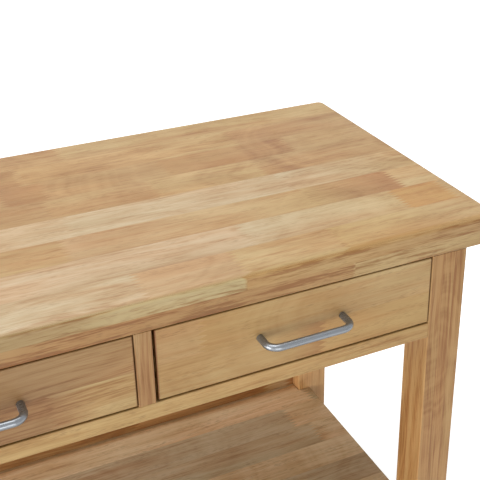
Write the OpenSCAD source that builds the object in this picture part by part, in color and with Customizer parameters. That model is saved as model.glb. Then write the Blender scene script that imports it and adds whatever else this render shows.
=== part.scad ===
// Kitchen cart in rubberwood: a thick two-layer worktop on four square legs,
// two inset drawers side by side, two shelves and four swivel castors.
// X runs along the cart, the drawers face -Y, +Z is up and Z = 0 is the floor.
// The origin is the middle of the footprint, handles included.

/* [Overall] */
// Height of the worktop above the floor
height = 880; // [860:5:920]
// Depth of the leg frame, front of the front legs to back of the rear legs
frame_d = 360; // [340:5:420]
// Side of a square leg
leg_w = 45; // [42:1:50]
// Thickness of the rails, aprons and shelf boards
board_t = 18; // [16:1:20]
// Radius of the eased long edges of legs and rails
ease_r = 1.5; // [1:0.5:2]

/* [Worktop] */
// Thickness of each of the worktop's two glued layers
layer_t = 18; // [16:1:22]
// How far the worktop stands past the legs at each end
end_overhang = 38; // [30:1:60]
// How far the worktop stands past the legs at the back
rear_overhang = 48; // [30:1:70]
// How far the worktop stands proud of the legs at the front
front_overhang = 1; // [0.5:0.5:4]
// Radius of the worktop's corners, seen from above
corner_r = 11; // [10:1:16]
// Radius of the round-over along the worktop's upper edge
round_over = 7; // [4:0.5:9]
// Radius of the easing along the worktop's lower edge
lower_ease = 2.5; // [1:0.5:4]

/* [Drawer case] */
// Width of one drawer opening
bay_w = 322; // [280:2:380]
// Height of the drawer openings
bay_h = 85; // [80:1:100]
// Width of the stile between the drawers
stile_w = 18; // [16:1:24]
// Thickness of the rail under the drawers
rail_t = 19; // [17:1:21]
// Depth of the stile and of the rail under the drawers, front to back
rail_d = 42; // [34:1:42]
// How far a runner reaches under a drawer side
runner_bear = 12; // [9:1:14]
// Thickness of a runner
runner_t = 16; // [14:1:18]
// Height of the guide beside an outer drawer side
guide_h = 24; // [16:1:34]
// Length of the blocks that stop the drawers at the back
stop_l = 10; // [8:1:40]

/* [Drawers] */
// Gap between a drawer front and the opening on its left
gap_left = 3; // [1:0.1:4]
// Gap between a drawer front and the opening on its right
gap_right = 1.1; // [0.6:0.1:2]
// Gap above a drawer front
gap_top = 1.3; // [1:0.1:2]
// Gap below a drawer front
gap_bottom = 2.2; // [1.2:0.1:2.5]
// Thickness of a drawer front
front_t = 18; // [17:1:20]
// Thickness of a drawer's sides and back
side_t = 12; // [10:1:13]
// How far a drawer's sides end below the upper edge of its front
side_drop = 4; // [3:1:16]
// Thickness of a drawer's bottom panel
panel_t = 4; // [3:1:5]
// Height of the bottom panel above the lower edge of the sides
panel_up = 10; // [8:1:13]
// How deep the bottom panel sits in its grooves
groove_deep = 5; // [4:0.5:6]
// Number of dovetail tails on the front end of a side
front_tails = 3; // [2:1:4]
// Number of dovetail tails on the back end of a side
back_tails = 2; // [1:1:3]

/* [Handles] */
// Distance between the centres of a handle's two feet
handle_pitch = 96; // [76:4:128]
// Diameter of the handle bar
bar_d = 8; // [7:0.5:10]
// How far the bar's outer face stands off the drawer front
handle_reach = 29; // [26:1:38]
// Radius of the bar's bends, measured to the bar's centre
bend_r = 12; // [10:1:15]

/* [Shelves] */
// Clear height between the front rail and the middle shelf
mid_clear = 282; // [260:1:300]
// Height of the lower shelf's top above the floor
low_top = 157; // [140:1:180]
// Height of the rails that carry a shelf
bearer_h = 42; // [34:1:46]
// Height of the rail behind a shelf
back_rail_h = 60; // [54:1:70]
// How far the rail behind a shelf stands above it
lip_h = 24; // [18:1:30]
// How far the rail behind a shelf sits behind the middle of the rear legs
rear_set = 5; // [0:0.5:6]

/* [Castors] */
// Height of a castor from the floor to the leg it carries
castor_h = 75; // [74:1:80]
// Diameter of a wheel over its tyre
wheel_d = 50; // [46:1:50]
// Width of a tyre
tyre_w = 20; // [16:1:22]
// Distance from the swivel axis back to the axle
trail = 18; // [15:1:20]
// Diameter of the castor's stem and king pin
stem_d = 8; // [7:0.5:10]
// Length of the stem inside the leg
stem_l = 22; // [18:1:26]
// Thickness of the pressed steel of a fork
plate_t = 2.5; // [2:0.5:3]
// Diameter of the axle bolt
axle_d = 6; // [5:0.5:7]
// Diameter of the pin that carries a brake pedal
pedal_pin_d = 4; // [3:0.5:4]

/* [Hidden] */
$fn = 48;

// Fits: glued joints, sliding wood, shafts that turn
glue_gap = 0.15;
slide_gap = 0.3;
shaft_gap = 0.05;
// A cut runs this far past the face that it opens
past = 1;

// The frame
span_x = 2 * bay_w + stile_w;
span_y = frame_d - 2 * leg_w;
frame_l = span_x + 2 * leg_w;
front_y = (handle_reach - frame_d - rear_overhang) / 2;
rear_y = front_y + frame_d;
leg_x = (frame_l - leg_w) / 2;
leg_front_y = front_y + leg_w / 2;
leg_rear_y = rear_y - leg_w / 2;
top_under = height - 2 * layer_t;
rail_top = top_under - bay_h;
rail_under = rail_top - rail_t;
apron_h = top_under - rail_under;
apron_in_x = leg_x - board_t / 2;
apron_in_y = leg_rear_y - board_t / 2;

// Tenons: half as thick as their board, with shoulders of one size. Two that
// enter one leg side by side keep tenon_space of wood between them
tenon_space = 4;
tenon_t = board_t / 2;
tenon_l = leg_w / 2 - tenon_t / 2 - tenon_space;
shoulder = 8;
stub_l = 8;

// Shelves
mid_top = rail_under - mid_clear;
shelf_front_y = leg_front_y - board_t / 2;
shelf_back_y = leg_rear_y + rear_set - board_t / 2;
shelf_half_l = span_x / 2 + board_t;
bearer_x = span_x / 2 + board_t / 2;

// Drawers. A bay's middle is at -bay_x or +bay_x
bay_x = (bay_w + stile_w) / 2;
drawer_w = bay_w - gap_left - gap_right;
front_h = bay_h - gap_top - gap_bottom;
drawer_z = rail_top + gap_bottom;
drawer_shift = (gap_left - gap_right) / 2;
side_h = front_h - side_drop;
socket_l = front_t - 6;
side_y = front_y + front_t;
drawer_end_y = rear_y - leg_w - stop_l;
back_y = drawer_end_y - side_t;
back_low = panel_up + panel_t + glue_gap;
back_top = side_h - 6;
runner_top = drawer_z - slide_gap;
screw_d = 4;

// Castors
fork_gap = tyre_w + 4;
eye_r = axle_d / 2 + 5;
fork_w = fork_gap + 2 * plate_t;
collar_h = 5;
collar_w = stem_d + 5;
race_h = 3;
race_r = 15;
crown_top = castor_h - collar_h - race_h - slide_gap;
dome_h = 3.5;
crown_z = crown_top - dome_h - plate_t;
rivet_h = 2;
hub_r = wheel_d / 2 - 5.5;
hub_wall = 4;
web_t = 7;
rim_t = 2.5;
rim_y = tyre_w / 2 - 1;
shoulder_r = 3.5;
pin_head_h = 1.2;
pedal_pin_x = -trail - 0.32 * wheel_d;
pedal_pin_z = wheel_d;
ear_r = 5.2;
sleeve_r = pedal_pin_d / 2 + 1.2;
pedal_l = 24;

WOOD = "burlywood";
PLY = "wheat";
STEEL = "silver";
DARK = "dimgray";

// A board with its long edges eased, centred on the origin; it runs along X
module eased_x(l, d, h, r = ease_r)
    rotate([90, 0, 90]) linear_extrude(l, center = true) rounded(d, h, r);

// The same, running along Y
module eased_y(l, d, h, r = ease_r)
    rotate([90, 0, 0]) linear_extrude(l, center = true) rounded(d, h, r);

// A rectangle with round corners, centred on the origin
module rounded(w, h, r) {
    square([w - 2 * r, h], center = true);
    square([w, h - 2 * r], center = true);
    for (x = [-1, 1], y = [-1, 1])
        translate([x * (w / 2 - r), y * (h / 2 - r)]) circle(r);
}

module box(x0, x1, y0, y1, z0, z1)
    translate([x0, y0, z0]) cube([x1 - x0, y1 - y0, z1 - z0]);

// Rails between two legs, as [along, x, y, z, thickness, height]
function rail_x(y, z, t, h) = ["x", 0, y, z, t, h];
function rail_y(x, z, t, h) = ["y", x, (front_y + rear_y) / 2, z, t, h];
FRONT_RAIL = rail_x(front_y + rail_d / 2, rail_top - rail_t / 2, rail_d, rail_t);
REAR_APRON = rail_x(leg_rear_y, top_under - apron_h / 2, board_t, apron_h);
function side_apron(side) = rail_y(side * leg_x, top_under - apron_h / 2, board_t, apron_h);
function shelf_front(top) = rail_x(leg_front_y, top - board_t - bearer_h / 2, board_t, bearer_h);
function shelf_rear(top) = rail_x(leg_rear_y + rear_set, top + lip_h - back_rail_h / 2, board_t, back_rail_h);
function shelf_side(side, top) = rail_y(side * bearer_x, top - board_t - bearer_h / 2, board_t, bearer_h);
RAILS = [
    FRONT_RAIL, REAR_APRON, side_apron(-1), side_apron(1),
    for (top = [mid_top, low_top])
        each [shelf_front(top), shelf_rear(top), shelf_side(-1, top), shelf_side(1, top)]
];

// The pair of tenons at a rail's ends, grown by grow where they are a mortise
module tenon_pair(rail, grow = 0) {
    flat = rail[5] < rail[4];
    t = flat ? rail[4] - 2 * shoulder : tenon_t;
    h = flat ? tenon_t : rail[5] - 2 * shoulder;
    l = rail[0] == "x" ? span_x : span_y;
    size = [l + 2 * (tenon_l + grow), t + 2 * grow, h + 2 * grow];
    translate([rail[1], rail[2], rail[3]]) rotate(rail[0] == "x" ? 0 : 90)
        difference() {
            cube(size, center = true);
            cube([l, t + past, h + past], center = true);
        }
}

module rail_bar(rail)
    translate([rail[1], rail[2], rail[3]])
        if (rail[0] == "x") eased_x(span_x, rail[4], rail[5]);
        else eased_y(span_y, rail[4], rail[5]);

module rail(rail) {
    rail_bar(rail);
    tenon_pair(rail);
}

module each_leg() for (x = [-leg_x, leg_x], y = [leg_front_y, leg_rear_y]) translate([x, y]) children();

// Worktop: two boards glued one on the other, with round corners
module at_worktop_middle()
    translate([0, (rear_y + rear_overhang + front_y - front_overhang) / 2]) children();

// The profile of a board's edge, from the centre of the corner outwards
module edge_profile(r) intersection() {
    square([corner_r, layer_t]);
    union() {
        square([corner_r - r, layer_t]);
        square([corner_r, layer_t - r]);
        translate([corner_r - r, layer_t - r]) circle(r);
    }
}

// One layer: a flat middle, four edge strips and four corners turned about Z
module worktop_layer(r) {
    l = frame_l + 2 * (end_overhang - corner_r);
    d = frame_d + front_overhang + rear_overhang - 2 * corner_r;
    translate([-l / 2, -d / 2, 0]) cube([l, d, layer_t]);
    for (side = [0, 1]) {
        rotate(180 * side) translate([l / 2, -d / 2, 0]) rotate([90, 0, 180]) mirror([1, 0, 0])
            linear_extrude(d) edge_profile(r);
        rotate(180 * side) translate([l / 2, d / 2, 0]) rotate([90, 0, -90]) mirror([1, 0, 0])
            linear_extrude(l) edge_profile(r);
        rotate(180 * side) translate([l / 2, d / 2, 0]) rotate_extrude(angle = 90) edge_profile(r);
        rotate(180 * side) translate([-l / 2, d / 2, 0]) rotate(90)
            rotate_extrude(angle = 90) edge_profile(r);
    }
}

module worktop_upper() color(WOOD)
    at_worktop_middle() translate([0, 0, height - layer_t]) worktop_layer(round_over);

module worktop_lower() color(WOOD) difference() {
    at_worktop_middle() translate([0, 0, height - layer_t]) mirror([0, 0, 1]) worktop_layer(lower_ease);
    stile_stub(glue_gap, 1);
    worktop_screw_shafts(glue_gap);
}

// Legs
module leg(x_side, y_side) color(WOOD) difference() {
    translate([x_side * leg_x, y_side > 0 ? leg_rear_y : leg_front_y, castor_h])
        linear_extrude(top_under - castor_h) rounded(leg_w, leg_w, ease_r);
    for (r = RAILS) tenon_pair(r, glue_gap);
    each_leg() translate([0, 0, castor_h - past])
        cylinder(d = insert_d + 2 * glue_gap, h = insert_l + 4 + past);
}

// Stile between the drawers, with a stub tenon at each end
module stile_stub(grow = 0, end = 0) {
    z = end > 0 ? top_under : rail_top;
    translate([0, front_y + rail_d / 2, z])
        cube([stile_w / 2 + 2 * grow, rail_d - 2 * shoulder + 2 * grow, 2 * (stub_l + grow)], center = true);
}

module stile() color(WOOD) {
    translate([0, front_y + rail_d / 2, rail_top]) linear_extrude(bay_h) rounded(stile_w, rail_d, ease_r / 3);
    stile_stub();
    stile_stub(end = 1);
}

module front_rail() color(WOOD) difference() {
    rail(FRONT_RAIL);
    stile_stub(glue_gap);
    runner_centre_stubs(glue_gap);
}

module rear_apron() color(WOOD) difference() {
    rail(REAR_APRON);
    runner_centre_stubs(glue_gap);
    worktop_screw_pockets();
}

module side_apron_rail(side) color(WOOD) difference() {
    rail(side_apron(side));
    worktop_screw_pockets();
}

// Board between the drawers, behind the stile
module divider() color(WOOD)
    box(-stile_w / 2, stile_w / 2, front_y + rail_d, apron_in_y, runner_top, top_under);

// Runners. Each carries a drawer side and has a block that stops it at the back
stop_y0 = drawer_end_y + slide_gap;
stop_y1 = rear_y - leg_w;
stop_h = 20;

module runner_outer(side) color(WOOD) {
    inner = span_x / 2 - runner_bear;
    guide = span_x / 2;
    for (part = [
        [inner, apron_in_x, front_y + leg_w, stop_y1, runner_top - runner_t, runner_top],
        [guide, apron_in_x, front_y + leg_w, stop_y1, runner_top, runner_top + guide_h],
        [inner, guide, stop_y0, stop_y1, runner_top, runner_top + stop_h]
    ])
        box(min(side * part[0], side * part[1]), max(side * part[0], side * part[1]),
            part[2], part[3], part[4], part[5]);
}

module runner_centre_stubs(grow = 0) {
    half = stile_w / 2 + runner_bear - 6;
    z = rail_top - rail_t / 2;
    front = front_y + rail_d;
    box(-half - grow, half + grow, front - stub_l - grow, front + past, z - 4 - grow, z + 4 + grow);
    box(-half - grow, half + grow, apron_in_y - past, apron_in_y + stub_l + grow,
        z - 4 - grow, z + 4 + grow);
}

module runner_centre() color(WOOD) {
    half = stile_w / 2 + runner_bear;
    box(-half, half, front_y + rail_d, apron_in_y, runner_top - runner_t, runner_top);
    runner_centre_stubs();
    for (side = [-1, 1])
        box(min(side * stile_w / 2, side * half), max(side * stile_w / 2, side * half),
            stop_y0, apron_in_y, runner_top, runner_top + stop_h);
}

// Screws that pull the worktop down on the aprons, from holes bored up from below
pocket_w = 11;
pocket_up = 38;
worktop_screw_d = 5;
screw_into_top = 0.7 * layer_t;
csk_h = 3;
screw_spots = [
    for (x = [-0.36, -0.12, 0.12, 0.36]) [x * span_x, leg_rear_y],
    for (side = [-1, 1], y = [-1, 1]) [side * leg_x, (front_y + rear_y) / 2 + y * span_y * 0.3]
];

module worktop_screw_shafts(grow = 0)
    for (p = screw_spots) translate([p[0], p[1], top_under - pocket_up])
        cylinder(d = worktop_screw_d + 2 * grow, h = pocket_up + screw_into_top + grow);

module worktop_screw_pockets() {
    worktop_screw_shafts(glue_gap);
    for (p = screw_spots) translate([p[0], p[1], rail_under - past])
        cylinder(d = pocket_w, h = apron_h - pocket_up + past);
}

module worktop_screws() color(STEEL) {
    worktop_screw_shafts();
    for (p = screw_spots) translate([p[0], p[1], top_under - pocket_up - csk_h])
        cylinder(d1 = pocket_w - 3, d2 = pocket_w - 1.5, h = csk_h);
}

// Shelves: boards notched round the legs, with a rounded front edge
module shelf_board(top) color(WOOD) difference() {
    depth = shelf_back_y - shelf_front_y;
    nose = board_t / 5;
    translate([-shelf_half_l, 0, top - board_t]) rotate([90, 0, 90]) linear_extrude(2 * shelf_half_l) {
        translate([shelf_front_y + nose, 0]) square([depth - nose, board_t]);
        translate([shelf_front_y, nose]) square([2 * nose, board_t - 2 * nose]);
        for (z = [nose, board_t - nose]) translate([shelf_front_y + nose, z]) circle(nose);
    }
    each_leg() translate([0, 0, top - board_t / 2])
        cube([leg_w + 1, leg_w + 1, board_t + 2 * past], center = true);
}

// Drawers, drawn round the middle of their bay. side is -1 on the left
module at_bay(side) translate([side * bay_x + drawer_shift, 0, drawer_z]) children();

half_w = drawer_w / 2;

// Tails from y = 0 to y = l, evenly spread over the height from z0 to z1
module tail_row(n, z0, z1, l, thick, grow) {
    pitch = (z1 - z0) / n;
    narrow = pitch * 0.26 + grow;
    wide = pitch * 0.35 + grow;
    for (i = [0 : n - 1])
        translate([0, 0, z0 + pitch * (i + 0.5)]) rotate([90, 0, 90]) linear_extrude(thick) polygon([
            [-past, -narrow], [0, -narrow], [l + grow, -wide],
            [l + grow, wide], [0, narrow], [-past, narrow]
        ]);
}

// The tails on both ends of one side; grown by grow they are the sockets
module side_tails(hand, grow = 0) {
    x = hand < 0 ? -half_w - grow : half_w - side_t - grow;
    thick = side_t + 2 * grow;
    translate([x, side_y, 0]) mirror([0, 1, 0]) tail_row(front_tails, 0, side_h, socket_l, thick, grow);
    translate([x, back_y, 0]) tail_row(back_tails, back_low, back_top, side_t, thick, grow);
}

module bottom_panel(grow = 0) {
    x = half_w - side_t + groove_deep;
    box(-x - grow, x + grow, side_y - groove_deep - grow, drawer_end_y,
        panel_up - grow, panel_up + panel_t + grow);
}

module handle_bores(d) for (x = [-1, 1]) translate([x * handle_pitch / 2, front_y - past, front_h / 2])
    rotate([-90, 0, 0]) cylinder(d = d, h = front_t + 2 * past);

module drawer_front(side) color(WOOD) at_bay(side) difference() {
    front_block();
    for (hand = [-1, 1]) side_tails(hand, glue_gap);
    bottom_panel(glue_gap);
    handle_bores(screw_d + 2 * glue_gap);
}

// The front's outer edges are eased by a slim chamfer
module front_block() {
    ease = ease_r / 2;
    difference() {
        box(-half_w, half_w, front_y, side_y, 0, front_h);
        for (z = [0, front_h]) translate([0, front_y, z]) rotate([45, 0, 0])
            cube([drawer_w + 2 * past, ease * sqrt(2), ease * sqrt(2)], center = true);
        for (x = [-1, 1]) translate([x * half_w, front_y, front_h / 2]) rotate(45)
            cube([ease * sqrt(2), ease * sqrt(2), front_h + 2 * past], center = true);
    }
}

module drawer_side(side, hand) color(WOOD) at_bay(side) difference() {
    union() {
        x = hand < 0 ? -half_w : half_w - side_t;
        box(x, x + side_t, side_y, back_y, 0, side_h);
        side_tails(hand);
    }
    bottom_panel(glue_gap);
}

module drawer_back(side) color(WOOD) at_bay(side) difference() {
    box(-half_w, half_w, back_y, drawer_end_y, back_low, back_top);
    for (hand = [-1, 1]) side_tails(hand, glue_gap);
}

module drawer_bottom(side) color(PLY) at_bay(side) bottom_panel();

// Handle: one bent bar, its feet square on the drawer front
module handle(side) color(STEEL) at_bay(side) translate([0, front_y, front_h / 2]) difference() {
    foot_l = handle_reach - bar_d / 2 - bend_r;
    union() {
        for (x = [-1, 1]) {
            translate([x * handle_pitch / 2, 0, 0]) rotate([90, 0, 0]) cylinder(d = bar_d, h = foot_l);
            translate([x * (handle_pitch / 2 - bend_r), -foot_l, 0]) rotate(x > 0 ? -90 : 180)
                rotate_extrude(angle = 90) translate([bend_r, 0]) circle(d = bar_d);
        }
        translate([-handle_pitch / 2 + bend_r, bar_d / 2 - handle_reach, 0]) rotate([0, 90, 0])
            cylinder(d = bar_d, h = handle_pitch - 2 * bend_r);
    }
    for (x = [-1, 1]) translate([x * handle_pitch / 2, past, 0]) rotate([90, 0, 0])
        cylinder(d = screw_d + 2 * shaft_gap, h = 10 + past);
}

module handle_screws(side) color(STEEL) at_bay(side)
    for (x = [-1, 1]) translate([x * handle_pitch / 2, side_y, front_h / 2]) rotate([90, 0, 0]) {
        cylinder(d = screw_d, h = front_t + 8);
        translate([0, 0, -2.4]) cylinder(d1 = 6.4, d2 = 8, h = 2.4);
    }

// Castors, drawn with the swivel axis on Z; the wheel trails towards -X
insert_d = stem_d + 4;
insert_l = stem_l + 1;
hex_ratio = 2 / sqrt(3);

module leg_inserts() color(STEEL) each_leg() translate([0, 0, castor_h]) difference() {
    cylinder(d = insert_d, h = insert_l);
    translate([0, 0, -past]) cylinder(d = stem_d + 2 * shaft_gap, h = insert_l + 2 * past);
}

module castor_stems() color(STEEL) each_leg() {
    king_l = race_h + slide_gap + dome_h + plate_t + slide_gap;
    translate([0, 0, castor_h - collar_h]) {
        cylinder(d = stem_d, h = collar_h + stem_l);
        cylinder(d = collar_w * hex_ratio, h = collar_h, $fn = 6);
        translate([0, 0, -race_h]) cylinder(r1 = race_r, r2 = race_r - 2, h = race_h);
        translate([0, 0, -king_l]) cylinder(d = stem_d, h = king_l);
        translate([0, 0, -king_l - rivet_h]) cylinder(d1 = stem_d + 2, d2 = stem_d + 4, h = rivet_h);
    }
}

// One cheek of a fork, in the XZ plane; with a brake it has an ear for the pedal's pin
module cheek_outline(brake) {
    polygon([
        [-race_r - 1, crown_z + plate_t], [race_r, crown_z + plate_t], [race_r, crown_z - 3],
        [eye_r * 0.87 - trail, wheel_d / 2 + eye_r * 0.5], [-trail - eye_r * 0.95, wheel_d / 2 + eye_r * 0.3]
    ]);
    translate([-trail, wheel_d / 2]) circle(eye_r);
    if (brake) {
        translate([pedal_pin_x, pedal_pin_z]) circle(ear_r);
        polygon([
            [pedal_pin_x, pedal_pin_z + ear_r], [-race_r - 1, crown_z + plate_t],
            [-trail, wheel_d / 2 + eye_r], [-trail - eye_r * 0.95, wheel_d / 2 + eye_r * 0.3],
            [pedal_pin_x - ear_r, pedal_pin_z]
        ]);
    }
}

module cross_bore(x, z, d, l)
    translate([x, 0, z]) rotate([90, 0, 0]) cylinder(d = d, h = l, center = true);

module at_castor(x_side, y_side)
    translate([x_side * leg_x, y_side > 0 ? leg_rear_y : leg_front_y, 0]) children();

// Fork: crown plate with its raised race, and two cheeks
module fork(x_side, y_side) color(STEEL) at_castor(x_side, y_side) difference() {
    brake = y_side < 0;
    union() {
        translate([0, 0, crown_z]) cylinder(r = race_r + 1, h = plate_t);
        translate([-race_r - 1, -fork_w / 2, crown_z]) cube([2 * race_r + 1, fork_w, plate_t]);
        translate([0, 0, crown_z + plate_t]) cylinder(r1 = race_r, r2 = race_r - 3, h = dome_h);
        for (y = [-1, 1]) translate([0, y * (fork_w - plate_t) / 2, 0]) rotate([90, 0, 0])
            linear_extrude(plate_t, center = true) cheek_outline(brake);
    }
    translate([0, 0, crown_z - past]) cylinder(d = stem_d + 2 * shaft_gap, h = dome_h + plate_t + 2 * past);
    cross_bore(-trail, wheel_d / 2, axle_d + 2 * shaft_gap, fork_w + 2 * past);
    if (brake) cross_bore(pedal_pin_x, pedal_pin_z, pedal_pin_d + 2 * shaft_gap, fork_w + 2 * past);
}

// Hub: rim, thin web and a boss that turns on the axle bolt
module hub(x_side, y_side) color(DARK) at_castor(x_side, y_side) translate([-trail, 0, wheel_d / 2]) {
    bore_r = axle_d / 2 + shaft_gap;
    boss_r = axle_d / 2 + hub_wall;
    boss_y = fork_gap / 2 - slide_gap;
    draft = 1;
    half = [
        [bore_r, boss_y], [boss_r, boss_y], [boss_r + draft, web_t / 2],
        [hub_r - rim_t - draft, web_t / 2], [hub_r - rim_t, rim_y], [hub_r, rim_y]
    ];
    rotate([90, 0, 0]) rotate_extrude()
        polygon([for (p = half) p, for (i = [len(half) - 1 : -1 : 0]) [half[i][0], -half[i][1]]]);
}

// Tyre with rounded shoulders
module tyre(x_side, y_side) color("black") at_castor(x_side, y_side) translate([-trail, 0, wheel_d / 2])
    rotate([90, 0, 0]) rotate_extrude() intersection() {
        translate([wheel_d / 4, 0]) rounded(wheel_d / 2, tyre_w, shoulder_r);
        translate([hub_r + shaft_gap, -tyre_w]) square([wheel_d, 2 * tyre_w]);
    }

// A cross pin with a head at each end
module headed_pin(x, z, d, head_d, head_h, sides)
    translate([x, 0, z]) rotate([90, 0, 0]) {
        cylinder(d = d, h = fork_w, center = true);
        for (turn = [0, 180]) rotate([turn, 0, 0]) translate([0, 0, fork_w / 2])
            cylinder(d = head_d, h = head_h, $fn = sides);
    }

// Axle bolt with its head and nut; a braked castor has the pedal's pin as well
module axle(x_side, y_side) color(STEEL) at_castor(x_side, y_side) {
    headed_pin(-trail, wheel_d / 2, axle_d, 1.6 * axle_d * hex_ratio, 0.6 * axle_d, 6);
    if (y_side < 0) headed_pin(pedal_pin_x, pedal_pin_z, pedal_pin_d, 1.6 * pedal_pin_d, pin_head_h, $fn);
}

// Brake pedal: a sleeve on its pin, a cam that bears on the tyre, and a tread plate
module pedal(x_side, y_side) color(DARK) at_castor(x_side, y_side) translate([pedal_pin_x, 0, pedal_pin_z])
    difference() {
        to_axle = [-trail - pedal_pin_x, wheel_d / 2 - pedal_pin_z];
        cam_r = norm(to_axle) - wheel_d / 2 - slide_gap;
        rotate([90, 0, 0]) linear_extrude(fork_gap - 2, center = true) {
            circle(sleeve_r);
            intersection() {
                circle(cam_r);
                rotate(atan2(to_axle[1], to_axle[0])) translate([0, -sleeve_r / 2])
                    square([wheel_d, sleeve_r]);
            }
            polygon([
                [0, sleeve_r], [-2 * sleeve_r, 1.7 * sleeve_r], [-pedal_l, 0.6 * sleeve_r],
                [-pedal_l, -0.3 * sleeve_r], [-2.5 * sleeve_r, 0.6 * sleeve_r], [0, -sleeve_r]
            ]);
        }
        cross_bore(0, 0, pedal_pin_d + 2 * shaft_gap, fork_w + 10);
    }

worktop_upper();
worktop_lower();
leg(-1, -1);  // leg_front_left
leg(1, -1);  // leg_front_right
leg(-1, 1);  // leg_rear_left
leg(1, 1);  // leg_rear_right
front_rail();
rear_apron();
side_apron_rail(-1);  // side_apron_left
side_apron_rail(1);  // side_apron_right
stile();
divider();
runner_outer(-1);  // runner_left
runner_outer(1);  // runner_right
runner_centre();
color(WOOD) rail(shelf_front(mid_top));  // mid_front_rail
color(WOOD) rail(shelf_rear(mid_top));  // mid_rear_rail
color(WOOD) rail(shelf_side(-1, mid_top));  // mid_side_rail_left
color(WOOD) rail(shelf_side(1, mid_top));  // mid_side_rail_right
shelf_board(mid_top);  // mid_shelf
color(WOOD) rail(shelf_front(low_top));  // low_front_rail
color(WOOD) rail(shelf_rear(low_top));  // low_rear_rail
color(WOOD) rail(shelf_side(-1, low_top));  // low_side_rail_left
color(WOOD) rail(shelf_side(1, low_top));  // low_side_rail_right
shelf_board(low_top);  // low_shelf
worktop_screws();
leg_inserts();
castor_stems();
drawer_front(-1);  // drawer_left_front
drawer_side(-1, -1);  // drawer_left_side_outer
drawer_side(-1, 1);  // drawer_left_side_inner
drawer_back(-1);  // drawer_left_back
drawer_bottom(-1);  // drawer_left_bottom
handle(-1);  // handle_left
handle_screws(-1);  // handle_screws_left
drawer_front(1);  // drawer_right_front
drawer_side(1, -1);  // drawer_right_side_inner
drawer_side(1, 1);  // drawer_right_side_outer
drawer_back(1);  // drawer_right_back
drawer_bottom(1);  // drawer_right_bottom
handle(1);  // handle_right
handle_screws(1);  // handle_screws_right
fork(-1, -1);  // fork_front_left
hub(-1, -1);  // hub_front_left
tyre(-1, -1);  // tyre_front_left
axle(-1, -1);  // axle_front_left
pedal(-1, -1);  // pedal_front_left
fork(1, -1);  // fork_front_right
hub(1, -1);  // hub_front_right
tyre(1, -1);  // tyre_front_right
axle(1, -1);  // axle_front_right
pedal(1, -1);  // pedal_front_right
fork(-1, 1);  // fork_rear_left
hub(-1, 1);  // hub_rear_left
tyre(-1, 1);  // tyre_rear_left
axle(-1, 1);  // axle_rear_left
fork(1, 1);  // fork_rear_right
hub(1, 1);  // hub_rear_right
tyre(1, 1);  // tyre_rear_right
axle(1, 1);  // axle_rear_right
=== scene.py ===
# A kitchen cart in rubberwood, dressed for a studio picture.
# Everything is in metres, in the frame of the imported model: the drawers face -Y and Z = 0 is the floor.
import bmesh
import bpy
from math import radians
from mathutils import Matrix, Vector


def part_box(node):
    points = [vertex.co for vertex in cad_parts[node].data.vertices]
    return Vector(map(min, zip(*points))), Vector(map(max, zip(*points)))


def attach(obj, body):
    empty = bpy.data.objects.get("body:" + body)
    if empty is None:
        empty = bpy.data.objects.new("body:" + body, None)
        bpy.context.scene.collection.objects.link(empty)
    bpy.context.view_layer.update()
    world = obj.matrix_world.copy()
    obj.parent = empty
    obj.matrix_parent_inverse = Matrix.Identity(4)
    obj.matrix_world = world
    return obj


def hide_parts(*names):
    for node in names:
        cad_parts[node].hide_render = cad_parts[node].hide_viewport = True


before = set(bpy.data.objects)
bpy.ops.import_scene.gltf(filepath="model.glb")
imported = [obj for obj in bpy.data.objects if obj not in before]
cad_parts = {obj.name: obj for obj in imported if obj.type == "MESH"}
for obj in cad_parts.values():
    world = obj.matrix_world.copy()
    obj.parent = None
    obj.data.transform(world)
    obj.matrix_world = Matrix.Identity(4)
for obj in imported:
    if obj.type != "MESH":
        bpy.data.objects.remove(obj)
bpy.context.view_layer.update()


# Camera. It stands in front of the left drawer, above the worktop, and looks down to the right.
# The picture is the lower left part of a wider one, so the lens is shifted down and to the left.
def aim(azimuth, dip, roll):
    turned = Matrix.Rotation(radians(-azimuth), 3, "Z")
    tipped = Matrix.Rotation(radians(90 - dip), 3, "X")
    rolled = Matrix.Rotation(radians(roll), 3, "Z")
    return (turned @ tipped @ rolled).to_euler()


camera_data = bpy.data.cameras.new("camera")
camera_data.sensor_width = 36
camera_data.lens = 72.84
camera_data.shift_x = -0.07
camera_data.shift_y = -0.08
camera = bpy.data.objects.new("camera", camera_data)
camera.location = (-0.2240, -0.9455, 1.3559)
camera.rotation_euler = aim(azimuth=25.693, dip=25.703, roll=-0.492)
bpy.context.scene.collection.objects.link(camera)
bpy.context.scene.camera = camera


# Studio. A seamless pale floor that fades to white, and a white surround, lit by large soft boxes: one
# overhead, a strong one on the left and a weak one in front. Camera and metal see the surround as white.
WHITE = (1.0, 1.0, 1.0)


def node_tree(owner):
    owner.use_nodes = True
    owner.node_tree.nodes.clear()
    return owner.node_tree.nodes, owner.node_tree.links


def seen_directly(nodes, links):
    """Gives 1 to rays that come from the camera or a mirror or pass through glass, and 0 to the rest."""
    path = nodes.new("ShaderNodeLightPath")
    share = path.outputs["Is Camera Ray"]
    for ray in ("Is Glossy Ray", "Is Transmission Ray"):
        either = nodes.new("ShaderNodeMath")
        either.operation = "MAXIMUM"
        links.new(share, either.inputs[0])
        links.new(path.outputs[ray], either.inputs[1])
        share = either.outputs[0]
    return share


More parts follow.
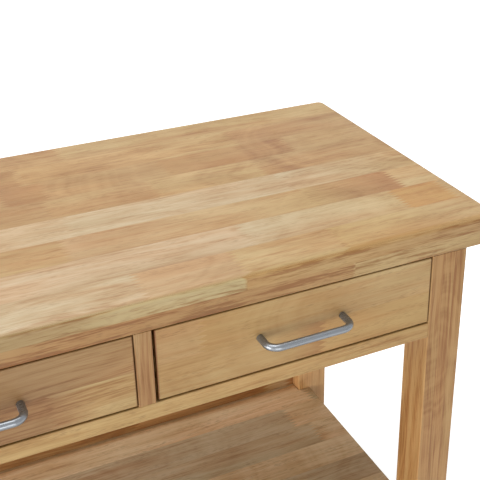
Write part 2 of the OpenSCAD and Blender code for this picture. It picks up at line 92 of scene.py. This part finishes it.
world = bpy.data.worlds.new("studio")
bpy.context.scene.world = world
nodes, links = node_tree(world)
fill = nodes.new("ShaderNodeBackground")
fill.inputs["Color"].default_value = (1.0, 0.985, 0.96, 1)
fill.inputs["Strength"].default_value = 0.31
white = nodes.new("ShaderNodeBackground")
white.inputs["Color"].default_value = (*WHITE, 1)
white.inputs["Strength"].default_value = 1.0
choose = nodes.new("ShaderNodeMixShader")
surround = nodes.new("ShaderNodeOutputWorld")
links.new(seen_directly(nodes, links), choose.inputs[0])
links.new(fill.outputs[0], choose.inputs[1])
links.new(white.outputs[0], choose.inputs[2])
links.new(choose.outputs[0], surround.inputs[0])

floor_mesh = bpy.data.meshes.new("floor")
bm = bmesh.new()
bmesh.ops.create_circle(bm, cap_ends=True, segments=96, radius=9.0)
bm.to_mesh(floor_mesh)
bm.free()
floor = bpy.data.objects.new("floor", floor_mesh)
bpy.context.scene.collection.objects.link(floor)

# Where the camera sees it, the floor glows more with its distance from the cart, and so fades to white
floor_paint = bpy.data.materials.new("pale floor")
nodes, links = node_tree(floor_paint)
matte = nodes.new("ShaderNodeBsdfDiffuse")
matte.inputs["Color"].default_value = (0.86, 0.86, 0.86, 1)
where = nodes.new("ShaderNodeTexCoord")
from_cart = nodes.new("ShaderNodeVectorMath")
from_cart.operation = "LENGTH"
links.new(where.outputs["Object"], from_cart.inputs[0])
fade = nodes.new("ShaderNodeMapRange")
fade.interpolation_type = "SMOOTHSTEP"
for socket, value in (("From Min", 0.5), ("From Max", 1.7), ("To Min", 0.30), ("To Max", 1.0)):
    fade.inputs[socket].default_value = value
links.new(from_cart.outputs["Value"], fade.inputs["Value"])
glow = nodes.new("ShaderNodeEmission")
glow.inputs["Color"].default_value = (*WHITE, 1)
links.new(fade.outputs[0], glow.inputs["Strength"])
lift = nodes.new("ShaderNodeAddShader")
links.new(matte.outputs[0], lift.inputs[0])
links.new(glow.outputs[0], lift.inputs[1])
mix = nodes.new("ShaderNodeMixShader")
links.new(seen_directly(nodes, links), mix.inputs[0])
links.new(matte.outputs[0], mix.inputs[1])
links.new(lift.outputs[0], mix.inputs[2])
output = nodes.new("ShaderNodeOutputMaterial")
links.new(mix.outputs[0], output.inputs[0])
floor_mesh.materials.append(floor_paint)


def soft_box(name, place, looks_at, width, height, watts):
    lamp = bpy.data.lights.new(name, "AREA")
    lamp.shape = "RECTANGLE"
    lamp.size = width
    lamp.size_y = height
    lamp.energy = watts
    box = bpy.data.objects.new(name, lamp)
    box.location = place
    box.rotation_euler = (Vector(looks_at) - Vector(place)).to_track_quat("-Z", "Y").to_euler()
    bpy.context.scene.collection.objects.link(box)


soft_box("overhead box", (-0.4, 0.4, 3.2), looks_at=(0, 0, 0.8), width=2.6, height=2.2, watts=62)
soft_box("left box", (-2.9, -0.6, 0.8), looks_at=(0, 0, 0.6), width=2.2, height=1.4, watts=80)
soft_box("front box", (-0.4, -2.9, 0.6), looks_at=(0, 0, 0.6), width=2.0, height=1.1, watts=24)


# Legs. Square posts of rubberwood, glued up from narrow staves and planed to 45 mm, with mortises for
# every rail. Each stave has its own tone, and pores show as short dark dashes along the grain.
APRICOT_WITH_PAINTED_LIGHT = (0.700, 0.415, 0.175)
STRAW = (0.520, 0.345, 0.155)
TAN = (0.450, 0.272, 0.110)
BROWN = (0.415, 0.240, 0.094)
RUSSET = (0.420, 0.232, 0.084)


class Wiring:
    """Short forms for the nodes of one material."""

    def __init__(self, name):
        self.material = bpy.data.materials.new(name)
        self.nodes, self.links = node_tree(self.material)
        self.position = self.nodes.new("ShaderNodeTexCoord").outputs["Object"]
        split = self.nodes.new("ShaderNodeSeparateXYZ")
        self.links.new(self.position, split.inputs[0])
        self.axis = {"X": split.outputs[0], "Y": split.outputs[1], "Z": split.outputs[2]}

    def put(self, value, socket):
        """Links a socket, or sets a number or a colour."""
        if isinstance(value, bpy.types.NodeSocket):
            self.links.new(value, socket)
        elif isinstance(value, tuple):
            socket.default_value = (*value, 1)
        else:
            socket.default_value = value

    def math(self, operation, a, b=0.0, c=0.0):
        node = self.nodes.new("ShaderNodeMath")
        node.operation = operation
        for value, socket in zip((a, b, c), node.inputs):
            self.put(value, socket)
        return node.outputs[0]

    def add(self, total, *others):
        for other in others:
            total = self.math("ADD", total, other)
        return total

    def less(self, a, b):
        return self.math("SUBTRACT", a, b)

    def times(self, a, b):
        return self.math("MULTIPLY", a, b)

    def vector(self, x, y, z):
        node = self.nodes.new("ShaderNodeCombineXYZ")
        for value, socket in zip((x, y, z), node.inputs):
            self.put(value, socket)
        return node.outputs[0]

    def noise(self, where, scale=1.0, detail=2.0, rough=0.55):
        node = self.nodes.new("ShaderNodeTexNoise")
        self.put(where, node.inputs["Vector"])
        node.inputs["Scale"].default_value = scale
        node.inputs["Detail"].default_value = detail
        node.inputs["Roughness"].default_value = rough
        return node.outputs["Fac"]

    def spread(self, value, low, high, to_low=0.0, to_high=1.0):
        """Maps the range from low to high onto another, and holds its ends beyond them."""
        node = self.nodes.new("ShaderNodeMapRange")
        for given, socket in zip((value, low, high, to_low, to_high), node.inputs):
            self.put(given, socket)
        return node.outputs[0]

    def varied(self, noise, low, high):
        """Lets noise, which keeps mostly between 0.3 and 0.7, vary a value from low to high."""
        return self.spread(noise, 0.3, 0.7, low, high)

    def ramp(self, value, stops, interpolation="LINEAR"):
        """The colour for a value, from stops that are listed upwards."""
        node = self.nodes.new("ShaderNodeValToRGB")
        node.color_ramp.interpolation = interpolation
        self.put(value, node.inputs[0])
        marks = node.color_ramp.elements
        while len(marks) < len(stops):
            marks.new(1.0)
        for mark, (place, color) in zip(marks, stops):
            mark.position = place
            mark.color = (*color, 1)
        return node.outputs["Color"]

    def mix(self, share, a, b, blend="MIX"):
        node = self.nodes.new("ShaderNodeMix")
        node.data_type = "RGBA"
        node.blend_type = blend
        self.put(share, node.inputs["Factor"])
        self.put(a, node.inputs["A"])
        self.put(b, node.inputs["B"])
        return node.outputs["Result"]

    def tinted(self, color, value, stops):
        """Multiplies a colour by the tint that the ramp has for a value."""
        return self.mix(1.0, color, self.ramp(value, stops), "MULTIPLY")

    def finish(self, color, roughness, height, depth, strength, metal=0.0, specular=0.5):
        """Joins colour, roughness and a bump of some depth in metres; gives the material."""
        surface = self.nodes.new("ShaderNodeBsdfPrincipled")
        self.put(color, surface.inputs["Base Color"])
        self.put(roughness, surface.inputs["Roughness"])
        surface.inputs["Metallic"].default_value = metal
        surface.inputs["Specular IOR Level"].default_value = specular
        bump = self.nodes.new("ShaderNodeBump")
        bump.inputs["Strength"].default_value = strength
        bump.inputs["Distance"].default_value = depth
        self.links.new(height, bump.inputs["Height"])
        self.links.new(bump.outputs[0], surface.inputs["Normal"])
        output = self.nodes.new("ShaderNodeOutputMaterial")
        self.links.new(surface.outputs[0], output.inputs[0])
        return self.material


class Wood(Wiring):
    """Staves side by side: u runs along the grain, v across the staves and d through their thickness.

    A stave is a row of pieces. Each has a tone and a number of its own between 0 and 1, which sets its
    pattern apart from its neighbours'. Numbers of cycles are per metre."""

    def __init__(self, name, along, across, stave, start):
        """stave is how wide the staves are, and start is where the first one begins."""
        super().__init__(name)
        self.u, self.v = self.axis[along], self.axis[across]
        self.d = self.axis[({"X", "Y", "Z"} - {along, across}).pop()]

        # place counts staves from the first one's edge, and row is the number of a stave
        self.stave = stave
        self.place = self.math("DIVIDE", self.less(self.v, start), stave)
        self.row = self.math("FLOOR", self.place)

        # Pieces meet in finger joints, 10 mm long and 6 mm apart
        half_pitch, slope, half_length = 0.003, 3.33, 0.005
        fingers = self.times(self.math("PINGPONG", self.v, half_pitch), slope)
        self.jointed = self.add(self.u, fingers, -half_length)

    def by_chance(self, tones, length, seed):
        """Pieces of one length that begin and take their tones by chance. Gives tone and own number, as
        the next three do."""
        shift = self.nodes.new("ShaderNodeTexWhiteNoise")
        shift.noise_dimensions = "1D"
        self.put(self.add(self.row, seed), shift.inputs["W"])
        along = self.add(self.math("DIVIDE", self.jointed, length), shift.outputs["Value"])
        pick = self.nodes.new("ShaderNodeTexWhiteNoise")
        self.put(self.vector(self.row, self.math("FLOOR", along), seed), pick.inputs["Vector"])
        own = pick.outputs["Value"]
        stops = [(order / len(tones), tone) for order, tone in enumerate(tones)]
        return self.ramp(own, stops, "CONSTANT"), own

    def one_row(self, pieces, low, high, seed):
        """One row of pieces, each given as where it ends and the tones that it has along its length."""
        first_number, number_step, soft_end = 0.137, 0.618, 0.0008
        tones, numbers, start = [], [], low
        for order, (end, *colors) in enumerate(pieces, seed):
            own = (first_number + number_step * order) % 1.0
            numbers.append(((start - low) / (high - low), (own, own, own)))
            if len(colors) == 1:
                colors = 2 * colors
            length = end - start - 2 * soft_end
            for count, color in enumerate(colors):
                place = start + soft_end + length * count / (len(colors) - 1)
                tones.append(((place - low) / (high - low), color))
            start = end
        along = self.spread(self.jointed, low, high)
        return self.ramp(along, tones), self.ramp(along, numbers, "CONSTANT")

    def blend(self, share, one, other):
        """Changes from one pair of tone and own number to the other."""
        own = self.add(self.times(one[1], self.less(1.0, share)), self.times(other[1], share))
        return self.mix(share, one[0], other[0]), own

    def by_rows(self, rows, low, high, seed=0):
        """Rows of pieces, each row as one_row has it."""
        mixed = self.one_row(rows[0], low, high, seed)
        for number, pieces in enumerate(rows[1:], 1):
            here = self.math("COMPARE", self.row, float(number), 0.25)
            mixed = self.blend(here, mixed, self.one_row(pieces, low, high, seed + 3 * number))
        return mixed

    def patches(self, along, across, detail=2.0):
        """Noise with so many cycles along and across the staves."""
        where = self.vector(self.add(self.times(self.u, along), self.shift),
                            self.times(self.v, across), self.times(self.d, across))
        return self.noise(where, detail=detail)

    def streaks(self, along, across, rough=0.6):
        """The same along and across the grain as it wanders, from -0.5 to 0.5."""
        where = self.vector(self.add(self.times(self.u, along * self.run), self.shift),
                            self.times(self.side, across), self.times(self.deep, across))
        return self.less(self.noise(where, rough=rough), 0.5)

    def rings(self, figure):
        """Growth rings, cut nearly flat: long lines that close in arches here and there."""
        rings_per_metre = 300.0
        faint, bold = 0.35 * figure, 1.15 * figure
        beside_heart = self.times(self.less(self.math("FRACT", self.place), self.own), self.stave)
        along = self.add(self.times(self.u, 2.6), self.shift)
        tilt = self.noise(self.vector(along, self.own, 0.0), detail=1.0)
        above_heart = self.add(self.times(tilt, 0.11), self.d, 0.01)
        squares = self.add(self.math("POWER", beside_heart, 2.0), self.math("POWER", above_heart, 2.0))
        radius = self.add(self.math("SQRT", squares), self.wander)
        count = self.add(self.times(radius, rings_per_metre), self.shift)
        lines = self.noise(self.vector(count, self.times(self.u, 1.5), self.own), rough=0.6)
        strength = self.spread(self.math("FRACT", self.times(self.own, 7.3)), 0.1, 0.9, faint, bold)
        return self.times(self.less(lines, 0.5), strength)

    def pores(self):
        """Short dashes along the grain, crowded here and few there."""
        along, across = 95.0, 1050.0
        dash = self.nodes.new("ShaderNodeTexVoronoi")
        dash.inputs["Scale"].default_value = 1.0
        self.put(self.vector(self.times(self.u, along), self.times(self.side, across),
                             self.times(self.deep, across)), dash.inputs["Vector"])
        crowded = self.spread(self.streaks(along=14.0, across=140.0), -0.08, 0.14)
        return self.times(self.spread(dash.outputs["Distance"], 0.22, 0.42, 1.0, 0.0), crowded)

    def with_grain(self, color, figure, streak):
        """Rings and lines darken the wood, and broad lines turn it redder or yellower as well. Gives the
        colour and the finest lines."""
        broad = self.streaks(along=5.0, across=85.0)
        middle = self.streaks(along=12.0, across=260.0)
        narrow = self.streaks(along=24.0, across=600.0)
        fine = self.streaks(along=42.0, across=1500.0, rough=0.7)
        lines = self.add(self.times(broad, 0.80), self.times(middle, 0.80), self.times(narrow, 0.60),
                         self.times(fine, 0.40))
        shade = self.add(0.5, self.times(self.rings(figure), 0.75), self.times(lines, streak))
        color = self.tinted(color, shade, ((0.18, (0.66, 0.52, 0.38)), (0.40, (0.90, 0.85, 0.78)),
                                           (0.56, WHITE), (0.80, (1.10, 1.13, 1.18))))
        hue = self.patches(along=4.5, across=17.0, detail=1.0)
        hue = self.add(hue, self.times(broad, -0.6), self.times(middle, -0.4))
        color = self.tinted(color, hue,
                            ((0.34, (0.975, 1.01, 1.01)), (0.50, WHITE), (0.66, (1.03, 0.975, 0.94))))
        return color, fine

    def with_glue_lines(self, color):
        """Thin dark lines where staves are glued side by side."""
        line_width, line_share, glue_brown = 0.0005, 0.12, (0.20, 0.11, 0.05)
        in_row = self.math("FRACT", self.place)
        from_joint = self.math("MINIMUM", in_row, self.less(1.0, in_row))
        line = self.spread(from_joint, 0.0, line_width / self.stave, line_share, 0.0)
        return self.mix(line, color, glue_brown)

    def with_end_grain_and_gap_shade(self, color, ends, end_grain_and_gap_shade):
        """Cut ends are darker, because their open pores soak up the oil. On the drawer fronts the ends are
        darkened much more, as painted shade in the gaps beside the drawers.
        """
        dark_to, clear_from = 0.0004, 0.0016
        for end in ends:
            from_end = self.math("ABSOLUTE", self.less(self.u, end))
            darkened_end = self.mix(1.0, color, end_grain_and_gap_shade, "MULTIPLY")
            color = self.mix(self.spread(from_end, dark_to, clear_from, 1.0, 0.0), color, darkened_end)
        return color

    def planed(self, mixed, figure=1.0, streak=1.0, run=1.0, pores=0.55, roughness=0.42, ends=(),
               end_grain_and_gap_shade=(0.74, 0.66, 0.56)):
        """Finishes the wood. figure is how strong its rings are, streak how strong its lines are and run
        how often they change along the grain, pores is how dark the pores are, and ends are the places
        along the grain where the wood is cut across."""
        color, self.own = mixed
        self.shift = self.times(self.own, 31.0)
        self.run = run

        # The tone drifts along a piece, and the grain wanders a little from side to side
        color = self.tinted(color, self.patches(along=7.0, across=24.0),
                            ((0.34, (0.90, 0.85, 0.78)), (0.50, WHITE), (0.66, (1.06, 1.09, 1.14))))
        sway = self.less(self.patches(along=3.2, across=9.0), 0.5)
        self.wander = self.times(sway, 0.022 * figure)
        self.side = self.add(self.v, self.wander, self.times(self.own, 3.7))
        self.deep = self.add(self.d, self.times(self.wander, 0.6), self.times(self.own, 1.9))
        color, fine = self.with_grain(color, figure, streak)

        pore = self.pores()
        pore_brown = (0.19, 0.10, 0.042)
        color = self.mix(self.times(pore, pores), color, pore_brown)
        color = self.with_end_grain_and_gap_shade(self.with_glue_lines(color), ends, end_grain_and_gap_shade)

        cloud = self.noise(self.vector(self.u, self.v, self.d), 7.0)
        dull = self.varied(cloud, roughness - 0.04, roughness + 0.05)
        height = self.less(self.times(fine, 0.5), pore)
        return self.finish(color, self.add(dull, self.times(pore, 0.2)), height, depth=0.00012, strength=0.35,
                           specular=0.42)


def staves(name, along, across, stave, start, tones, length, seed, **look):
    wood = Wood(name, along, across, stave, start)
    return wood.planed(wood.by_chance(tones, length, seed), **look)


def coat(material, *node_names):
    """Gives CAD nodes their finish."""
    for name in node_names:
        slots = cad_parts[name].data.materials
        slots.clear()
        slots.append(material)


leg_wood = staves("leg staves", "Z", "X", stave=0.0150, start=0.331, length=1.4, seed=2.0,
                  tones=(BROWN, RUSSET, TAN, BROWN, RUSSET), figure=1.2, streak=1.6, run=0.4, pores=0.2)
# The rear legs are painted paler and more orange than the front legs: painted light, for the light that
# reaches inside the cart.
rear_leg_wood = staves("rear leg staves", "Z", "X", stave=0.0225, start=0.331, length=1.4, seed=3.0,
                       tones=(APRICOT_WITH_PAINTED_LIGHT, APRICOT_WITH_PAINTED_LIGHT, STRAW), streak=1.1, run=0.4, pores=0.2)
coat(leg_wood, "leg_front_left", "leg_front_right")
coat(rear_leg_wood, "leg_rear_left", "leg_rear_right")


# Aprons. Wide rubberwood rails behind and at both ends, tenoned into the legs under the worktop, and
# bored from below for the screws that hold it.
HONEY = (0.485, 0.310, 0.130)
apron_wood = staves("rear apron staves", "X", "Z", stave=0.0515, start=0.741, length=0.8, seed=5.0,
                    tones=(TAN, BROWN, HONEY))
end_wood = staves("end apron staves", "Y", "Z", stave=0.0515, start=0.741, length=0.8, seed=6.0,
                  tones=(TAN, HONEY, RUSSET))
coat(apron_wood, "rear_apron")
coat(end_wood, "side_apron_left", "side_apron_right")


# Front rail and stile, both of rubberwood. The rail under the drawers is one pale board laid flat; the
# stile between the drawers stands on it, with a stub tenon at each end.
GOLD = (0.475, 0.290, 0.108)
SADDLE = (0.395, 0.230, 0.092)


def as_piece(name, bm, material):
    """Makes a shape a smooth-shaded object of one material, at the origin."""
    for face in bm.faces:
        face.smooth = True
    mesh = bpy.data.meshes.new(name)
    bm.to_mesh(mesh)
    bm.free()
    mesh.materials.append(material)
    piece = bpy.data.objects.new(name, mesh)
    bpy.context.scene.collection.objects.link(piece)
    return piece


def eased(node, body, material, ease, segments=2):
    """A copy of a CAD node, merged, with its outer edges rounded over; it stands for that node."""
    same_point, flat, sharp = 0.000002, radians(0.3), radians(35)
    bm = bmesh.new()
    bm.from_mesh(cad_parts[node].data)
    bmesh.ops.remove_doubles(bm, verts=bm.verts, dist=same_point)
    bmesh.ops.dissolve_limit(bm, angle_limit=flat, verts=bm.verts, edges=bm.edges)
    edges = [e for e in bm.edges if e.is_manifold and e.is_convex and e.calc_face_angle() > sharp]
    bmesh.ops.bevel(bm, geom=edges, offset=ease, offset_type="OFFSET", segments=segments, profile=0.5,
                    affect="EDGES", clamp_overlap=True, material=-1)
    piece = as_piece(f"{node}_eased", bm, material)
    piece.data.set_sharp_from_angle(angle=radians(40))
    even = piece.modifiers.new("even shading", "WEIGHTED_NORMAL")
    even.keep_sharp = True
    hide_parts(node)
    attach(piece, body)


rail_wood = staves("front rail board", "X", "Z", stave=0.0400, start=0.730, length=2.4, seed=8.0,
                   tones=(STRAW, GOLD, GOLD), figure=0.7)
stile_wood = staves("stile board", "Z", "X", stave=0.0300, start=-0.015, length=2.4, seed=9.0,
                    tones=(SADDLE,), streak=1.5, run=0.5, pores=0.3)
eased("front_rail", "cart_frame", rail_wood, ease=0.0008)
eased("stile", "cart_frame", stile_wood, ease=0.0004)


# Runners and divider. Plain rubberwood boards inside the case: a rail under each drawer side, with a block
# that stops the drawer, and a board that keeps the drawers apart. The outer rails are glued to the side
# aprons, and the middle one has stub tenons in the front rail and the rear apron.
case_wood = staves("case boards", "Y", "X", stave=0.0450, start=0.0, length=0.9, seed=11.0,
                   tones=(STRAW, TAN, HONEY))
coat(case_wood, "divider", "runner_left", "runner_right", "runner_centre")


# Shelf rails. Narrow rubberwood boards on edge, tenoned into the legs. The one behind each shelf is
# deeper and stands above it, so that nothing rolls off, and the upper one of these is painted dark: painted
# shade under the drawers.
UMBER = (0.318, 0.174, 0.066)
CHESTNUT = (0.365, 0.190, 0.066)
CHERRY = (0.385, 0.178, 0.058)
PINK = (0.505, 0.325, 0.163)
rail_ease = 0.0012
row_end = 0.415  # just past the end of the cart, where each row of pieces stops
# The last piece, which meets the right rear leg, is a painted shadow in that corner.
painted_shade_pieces = ((0.08, UMBER, CHESTNUT), (0.284, CHERRY), (0.321, RUSSET, PINK), (row_end, CHERRY))
wood = Wood("middle rear rail boards", "X", "Z", stave=0.0700, start=0.02)
painted_shade_wood = wood.planed(wood.one_row(painted_shade_pieces, -row_end, row_end, seed=31), streak=1.4)
eased("mid_rear_rail", "cart_frame", painted_shade_wood, ease=rail_ease)
shelf_rail_wood = staves("shelf rail boards", "X", "Z", stave=0.0700, start=0.02, length=1.6, seed=14.0,
                         tones=(TAN, BROWN, RUSSET))
shelf_end_wood = staves("shelf end rails", "Y", "Z", stave=0.0700, start=0.02, length=1.6, seed=15.0,
                        tones=(TAN, HONEY, BROWN))
for rail in ("mid_front_rail", "low_front_rail", "low_rear_rail"):
    eased(rail, "cart_frame", shelf_rail_wood, ease=rail_ease)
for level in ("mid", "low"):
    for side in ("left", "right"):
        eased(f"{level}_side_rail_{side}", "cart_frame", shelf_end_wood, ease=rail_ease)


# Shelves. Boards glued up from pale rubberwood staves that run along the cart. Each is notched round the
# legs, laid on its rails and rounded over along the front.
IVORY_WITH_PAINTED_LIGHT = (0.710, 0.490, 0.280)
BLUSH = (0.540, 0.380, 0.222)
CREAM = (0.545, 0.405, 0.240)
shelf_low, shelf_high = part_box("mid_shelf")
# The shelf staves are paler than the other wood: partly their own pale tone, partly painted light for the
# light that reaches in under the worktop.
shelf_wood = staves("shelf staves", "X", "Y", stave=0.0450, start=shelf_low[1], length=0.45, seed=17.0,
                    tones=(IVORY_WITH_PAINTED_LIGHT, BLUSH, IVORY_WITH_PAINTED_LIGHT, CREAM, IVORY_WITH_PAINTED_LIGHT), streak=0.8, roughness=0.58,
                    ends=(shelf_low[0], shelf_high[0]))
for shelf in ("mid_shelf", "low_shelf"):
    eased(shelf, "cart_frame", shelf_wood, ease=0.0010)


# Worktop. Two layers of rubberwood staves 51 mm wide, glued one on the other, rounded over and oiled.
# The rows are listed from the front; each piece of a row is where it ends and its tones. The wood is
# paler or redder on the front edge than on top, because each stave is cut through sapwood and heart.
BUTTER = (0.525, 0.400, 0.198)
OLIVE = (0.360, 0.235, 0.092)
AMBER = (0.480, 0.255, 0.075)
top_low, top_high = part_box("worktop_upper")
top_ends = (top_low[0], top_high[0])
stave_count = 8
top_stave = (top_high[1] - top_low[1]) / stave_count
# The last four rows are darker: partly the staves' own tones, partly painted shade for the light that falls
# off towards the back.
top_rows = (
    ((-0.17, TAN), (0.009, CREAM), (0.111, PINK), (0.224, STRAW), (row_end, GOLD, STRAW)),
    ((-0.24, STRAW), (0.142, BLUSH), (0.334, CREAM, STRAW), (0.398, AMBER), (row_end, STRAW)),
    ((-0.036, TAN), (0.245, PINK, HONEY), (0.359, HONEY, CHERRY), (row_end, STRAW)),
    ((-0.021, CREAM), (0.239, CREAM), (row_end, CREAM, STRAW)),
    ((-0.031, BROWN), (0.094, TAN), (0.229, HONEY), (row_end, TAN)),
    ((-0.071, TAN), (-0.021, CHESTNUT, RUSSET), (0.124, TAN), (0.292, RUSSET), (row_end, TAN)),
    ((-0.041, RUSSET), (0.239, HONEY), (row_end, BROWN)),
    ((0.020, TAN), (row_end, HONEY)),
)
front_edge = ((-0.26, TAN), (0.109, OLIVE, OLIVE, BUTTER, BUTTER), (row_end, GOLD, TAN))
wood = Wood("worktop staves", "X", "Y", top_stave, start=top_low[1])
edge_to, top_from = top_low[1] + 0.0010, top_low[1] + 0.0022
on_edge = wood.spread(wood.v, edge_to, top_from, 1.0, 0.0)
mixed = wood.blend(on_edge, wood.by_rows(top_rows, *top_ends), wood.one_row(front_edge, *top_ends, seed=5))
livelier = wood.add(0.75, wood.times(on_edge, 1.3))
coat(wood.planed(mixed, streak=livelier, run=1.6, pores=0.35, roughness=0.40, ends=top_ends), "worktop_upper")
under_rows = (
    ((-0.28, TAN), (0.2315, RUSSET), (row_end, HONEY)),
    ((-0.10, HONEY), (row_end, TAN)),
    ((0.05, TAN), (row_end, BROWN)),
    ((-0.20, STRAW), (0.21, HONEY), (row_end, TAN)),
    ((0.12, TAN), (row_end, HONEY)),
    ((-0.05, BROWN), (row_end, TAN)),
    ((0.27, HONEY), (row_end, STRAW)),
    ((-0.12, TAN), (row_end, HONEY)),
)
wood = Wood("under layer staves", "X", "Y", top_stave, start=top_low[1])
coat(wood.planed(wood.by_rows(under_rows, *top_ends, seed=40), streak=2.6, run=1.4, ends=top_ends),
     "worktop_lower")


# Fixings and castor stems. Zinc-plated steel: the screws under the worktop, the sleeves pressed into the
# legs, and the stems with their hexagon collars. The plating is clouded and finely speckled.
zinc_grey = (0.50, 0.515, 0.53)


def shaded(color, share):
    return tuple(share * channel for channel in color)


wiring = Wiring("zinc plate")
cloud = wiring.noise(wiring.position, 90.0, detail=3.0)
speck = wiring.noise(wiring.position, 900.0, rough=0.7)
tint = wiring.mix(wiring.varied(cloud, 0.0, 1.0), shaded(zinc_grey, 0.86), zinc_grey)
dull = wiring.add(wiring.varied(cloud, 0.25, 0.38), wiring.spread(speck, 0.4, 0.8, 0.0, 0.08))
zinc = wiring.finish(tint, dull, speck, depth=0.00005, strength=0.2, metal=1.0)
coat(zinc, "worktop_screws", "leg_inserts")
eased("castor_stems", "cart_frame", zinc, ease=0.0005)


# Castors. A pressed fork on each stem, a grey moulded wheel with a black rubber tyre, and on the front
# pair a black brake pedal on a pin through the fork's ears.
def moulded(name, color, roughness):
    wiring = Wiring(name)
    fine = wiring.noise(wiring.position, 1400.0)
    cloud = wiring.noise(wiring.position, 60.0)
    tint = wiring.mix(wiring.varied(cloud, 0.0, 1.0), shaded(color, 0.85), color)
    dull = wiring.varied(fine, roughness - 0.05, roughness + 0.07)
    return wiring.finish(tint, dull, fine, depth=0.00004, strength=0.3)


hub_grey = moulded("hub plastic", (0.16, 0.165, 0.17), roughness=0.45)
tyre_black = moulded("tyre rubber", (0.022, 0.022, 0.023), roughness=0.62)
pedal_black = moulded("pedal plastic", (0.018, 0.018, 0.019), roughness=0.40)
for castor in ("front_left", "front_right", "rear_left", "rear_right"):
    eased(f"fork_{castor}", f"fork_{castor}", zinc, ease=0.0005)
    eased(f"axle_{castor}", f"fork_{castor}", zinc, ease=0.0004)
    eased(f"hub_{castor}", f"wheel_{castor}", hub_grey, ease=0.0006)
    coat(tyre_black, f"tyre_{castor}")

# Rounded ribs are moulded across a pedal's tread plate, so that a shoe doesn't slip off it. The plate
# slopes down from plate_top to the pedal's end.
plate_length = 0.0176
plate_drop = 0.0035
plate_margin = 0.0018
rib_radius = 0.0008
rib_rounding = 0.0005
rib_places = (0.22, 0.40, 0.58, 0.76)
for side in ("left", "right"):
    eased(f"pedal_front_{side}", f"pedal_front_{side}", pedal_black, ease=0.0010, segments=3)
    pedal_low, pedal_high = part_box(f"pedal_front_{side}")
    middle_y = (pedal_low[1] + pedal_high[1]) / 2
    rib_length = pedal_high[1] - pedal_low[1] - 2 * plate_margin
    plate_top = Vector((pedal_low[0] + plate_length, middle_y, pedal_high[2]))
    plate_end = Vector((pedal_low[0], middle_y, pedal_high[2] - plate_drop))
    bm = bmesh.new()
    for share in rib_places:
        place = Matrix.Translation(plate_top.lerp(plate_end, share))
        bmesh.ops.create_cone(bm, cap_ends=True, segments=20, radius1=rib_radius, radius2=rib_radius,
                              depth=rib_length, matrix=place @ Matrix.Rotation(radians(90), 4, "X"))
    rims = [e for e in bm.edges if len(e.link_faces) == 2 and e.calc_face_angle() > radians(60)]
    bmesh.ops.bevel(bm, geom=rims, offset=rib_rounding, offset_type="OFFSET", segments=3, profile=0.5,
                    affect="EDGES", clamp_overlap=True, material=-1)
    ribs = as_piece(f"pedal_ribs_{side}", bm, pedal_black)
    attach(ribs, f"pedal_front_{side}")


# Drawers. Rubberwood fronts of two staves, planed to sit in their openings, with dovetailed sides and
# backs and a thin plywood panel slid in from behind. The rows run on from the left front to the right.
WHEAT = (0.440, 0.284, 0.113)
face_rows = (
    ((-0.25, UMBER), (-0.095, UMBER), (0.0, UMBER, WHEAT, WHEAT), (0.195, *[WHEAT] * 6, CHESTNUT),
     (row_end, GOLD)),
    ((-0.20, UMBER), (0.0, UMBER, UMBER, SADDLE), (0.06, BROWN, TAN), (row_end, GOLD, STRAW, STRAW)),
)
face_low, face_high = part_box("drawer_right_front")
face_ends = [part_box(f"drawer_{side}_front")[end][0] for side in ("left", "right") for end in (0, 1)]
wood = Wood("drawer front staves", "X", "Z", stave=(face_high[2] - face_low[2]) / 2, start=face_low[2])
left_from, right_from = -0.01, 0.01
left_streak, right_streak = 1.25, 0.50
streak = wood.spread(wood.u, left_from, right_from, left_streak, right_streak)
# The drawer fronts' ends are darkened strongly: painted shade in the gaps beside the drawers.
face_wood = wood.planed(wood.by_rows(face_rows, *top_ends, seed=20), figure=0.8, streak=streak, pores=0.4,
                        roughness=0.45, ends=face_ends, end_grain_and_gap_shade=(0.42, 0.27, 0.15))
side_wood = staves("drawer side boards", "Y", "Z", stave=0.0900, start=0.755, length=1.1, seed=21.0,
                   tones=(STRAW, CREAM, HONEY))
back_wood = staves("drawer back boards", "X", "Z", stave=0.0900, start=0.755, length=1.1, seed=22.0,
                   tones=(STRAW, HONEY, CREAM))
panel_wood = staves("drawer bottom panels", "X", "Y", stave=0.4000, start=-0.3, length=2.0, seed=23.0,
                    tones=(CREAM, STRAW), figure=1.3)
for side in ("left", "right"):
    drawer = f"drawer_{side}"
    eased(f"{drawer}_front", drawer, face_wood, ease=0.0007)
    eased(f"{drawer}_side_outer", drawer, side_wood, ease=0.0004)
    eased(f"{drawer}_side_inner", drawer, side_wood, ease=0.0004)
    eased(f"{drawer}_back", drawer, back_wood, ease=0.0004)
    coat(panel_wood, f"{drawer}_bottom")


# Handles. Bars of satin stainless steel, brushed along their length, bent at both ends and screwed on
# from inside the drawer.
steel_grey = (0.25, 0.268, 0.29)
wiring = Wiring("satin steel")
brushed = wiring.vector(wiring.times(wiring.axis["X"], 25.0), wiring.times(wiring.axis["Y"], 900.0),
                        wiring.times(wiring.axis["Z"], 900.0))
lines = wiring.noise(brushed, detail=3.0, rough=0.7)
cloud = wiring.noise(wiring.position, 40.0)
tint = wiring.mix(wiring.varied(lines, 0.0, 1.0), shaded(steel_grey, 0.88), steel_grey)
dull = wiring.add(wiring.varied(lines, 0.23, 0.30), wiring.varied(cloud, 0.0, 0.05))
handle_steel = wiring.finish(tint, dull, lines, depth=0.00003, strength=0.03, metal=0.80)
for side in ("left", "right"):
    coat(handle_steel, f"handle_{side}")
    coat(zinc, f"handle_screws_{side}")


# Last steps. The picture is shown as it is rendered.
bpy.context.scene.view_settings.view_transform = "Standard"
